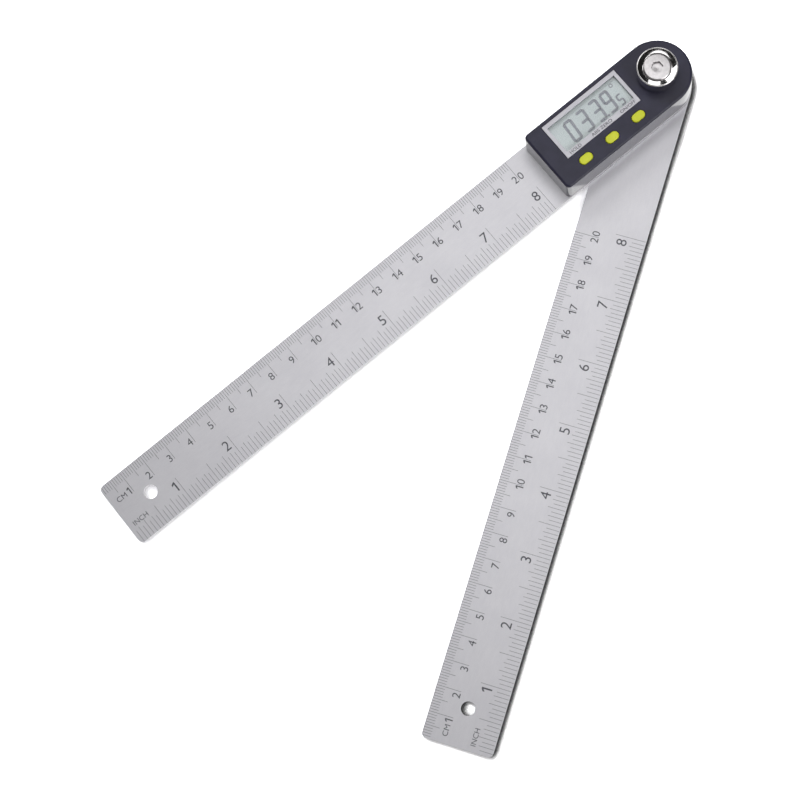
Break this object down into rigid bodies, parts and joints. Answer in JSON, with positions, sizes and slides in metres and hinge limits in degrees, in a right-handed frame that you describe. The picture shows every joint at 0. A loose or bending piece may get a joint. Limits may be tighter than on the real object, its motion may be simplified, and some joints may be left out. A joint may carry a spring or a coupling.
{
  "type": "digital angle finder",
  "caption": "Electronic angle finder: steel rules turning on one clamped pivot, with a moulded head that holds the display, its keys and a coin cell behind a bayonet cover.",
  "frame": {"origin": "on the pivot axis, in the plane of the lower rule's back face", "axes": "+Z along the pivot axis towards the clamp knob; the upper rule lies along -X with its centimetre edge on +Y; the lower rule is opened from it by a turn about +Z"},
  "size_m": [0.2781, 0.1719, 0.0229],
  "materials": {
    "rule_steel": "satin stainless steel",
    "scale_ink": "dark etched print",
    "head_plastic": "fine-grained moulded ABS, charcoal",
    "silver_trim": "silver-painted plastic",
    "clear_lens": "clear moulded lens",
    "display_glass": "grey liquid crystal panel",
    "display_ink": "liquid crystal segments",
    "white_plastic": "white moulded plastic",
    "contact_rubber": "layered contact rubber",
    "board_laminate": "lacquered laminate",
    "epoxy_drop": "black epoxy",
    "silicone_sheet": "soft grey silicone",
    "key_plastic": "yellow-green moulded keys",
    "cell_steel": "nickel-plated can",
    "spring_bronze": "phosphor bronze strip",
    "seal_rubber": "black rubber",
    "bush_brass": "turned brass",
    "turned_steel": "turned stainless steel",
    "nylon": "natural nylon",
    "spring_steel": "tempered spring steel",
    "knob_chrome": "bright chrome plate",
    "screw_steel": "satin stainless steel"
  },
  "bodies": {
    "upper_arm": {"upper_blade": "rule_steel", "head_cover": "head_plastic", "head_base": "head_plastic", "display_bezel": "silver_trim", "display_window": "clear_lens", "lcd_panel": "display_glass", "lcd_holder": "white_plastic", "zebra_connector": "contact_rubber", "circuit_board": "board_laminate", "chip_cap": "epoxy_drop", "keypad": "silicone_sheet", "battery_cell": "cell_steel", "plus_contact": "spring_bronze", "minus_contact": "spring_bronze", "pivot_bush": "bush_brass", "housing_screws": "screw_steel", "board_screws": "screw_steel"},
    "lower_arm": {"lower_blade": "rule_steel", "pivot_shaft": "turned_steel", "blade_washer": "nylon", "encoder_rotor": "board_laminate", "rotor_hub": "white_plastic", "hub_spring": "spring_steel", "stop_screw": "screw_steel"},
    "knob_washer": {"knob_washer": "spring_steel"},
    "lock_knob": {"lock_knob": "knob_chrome"},
    "power_button": {"power_button": "key_plastic"},
    "hold_button": {"hold_button": "key_plastic"},
    "zero_button": {"zero_button": "key_plastic"},
    "battery_cover": {"battery_cover": "head_plastic", "cover_seal": "seal_rubber"}
  },
  "joints": [
    {"name": "arm_pivot", "type": "hinge", "parent": "upper_arm", "child": "lower_arm", "pos_m": [0, 0, 0], "axis": [0, 0, 1], "continuous": true},
    {"name": "knob_lift", "type": "slide", "parent": "lower_arm", "child": "knob_washer", "axis": [0, 0, 1], "range_m": [0, 0.00076]},
    {"name": "knob_turn", "type": "hinge", "parent": "knob_washer", "child": "lock_knob", "pos_m": [0, 0, 0.0162], "axis": [0, 0, 1], "range_deg": [0, 270]},
    {"name": "power_button_press", "type": "slide", "parent": "upper_arm", "child": "power_button", "axis": [0, 0, 1], "range_m": [-0.0005, 0], "stiffness_N_per_m": 1200, "springref_m": 0.0004, "deforming": ["keypad"]},
    {"name": "hold_button_press", "type": "slide", "parent": "upper_arm", "child": "hold_button", "axis": [0, 0, 1], "range_m": [-0.0005, 0], "stiffness_N_per_m": 1200, "springref_m": 0.0004, "deforming": ["keypad"]},
    {"name": "zero_button_press", "type": "slide", "parent": "upper_arm", "child": "zero_button", "axis": [0, 0, 1], "range_m": [-0.0005, 0], "stiffness_N_per_m": 1200, "springref_m": 0.0004, "deforming": ["keypad"]},
    {"name": "battery_cover_turn", "type": "hinge", "parent": "upper_arm", "child": "battery_cover", "pos_m": [-0.033, 0, 0.0019], "axis": [0, 0, -1], "range_deg": [0, 45]}
  ],
  "couplings": [
    {"joint": "knob_lift", "follows": "knob_turn", "m_per_rad": 0.00015915}
  ]
}
